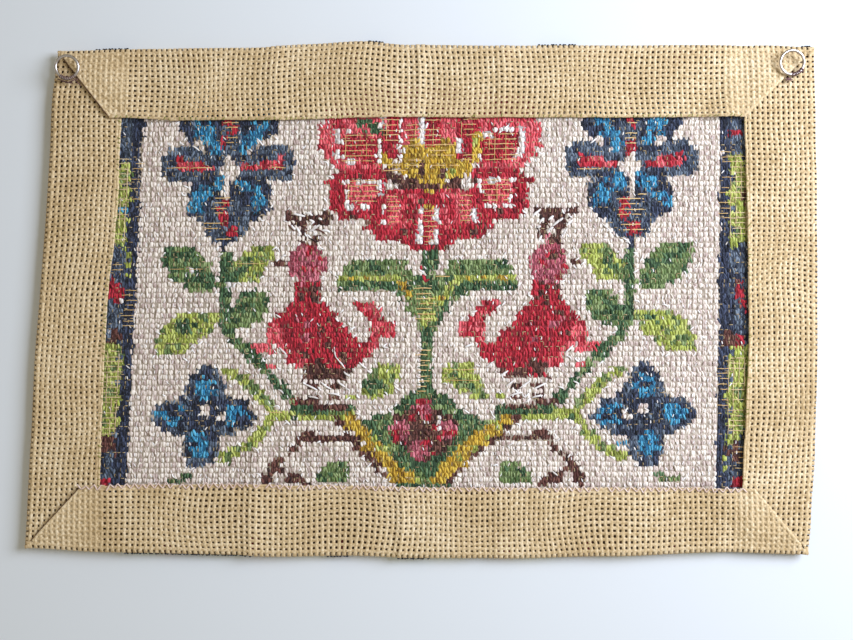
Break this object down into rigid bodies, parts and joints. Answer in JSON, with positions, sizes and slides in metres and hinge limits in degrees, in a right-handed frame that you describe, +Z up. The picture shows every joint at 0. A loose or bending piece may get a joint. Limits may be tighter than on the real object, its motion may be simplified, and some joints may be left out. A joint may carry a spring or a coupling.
{
  "type": "embroidered wall hanging",
  "caption": "Rectangular embroidered canvas wall hanging with its bare canvas hems turned back and mitred on the reverse, and a small wire ring sewn to each top corner.",
  "frame": {"origin": "middle of the top edge, half way through the folded edge", "axes": "+X to the right and +Z up as the reverse is looked at, -Y out of the reverse with the hems and rings, +Y out of the worked front"},
  "size_m": [0.3866, 0.0096, 0.254],
  "materials": {
    "cloth": "open cotton canvas worked in matt wool",
    "ring_wire": "bright plated wire"
  },
  "bodies": {
    "root": {"cloth": "cloth", "ring_left": "ring_wire", "ring_right": "ring_wire"}
  },
  "joints": []
}
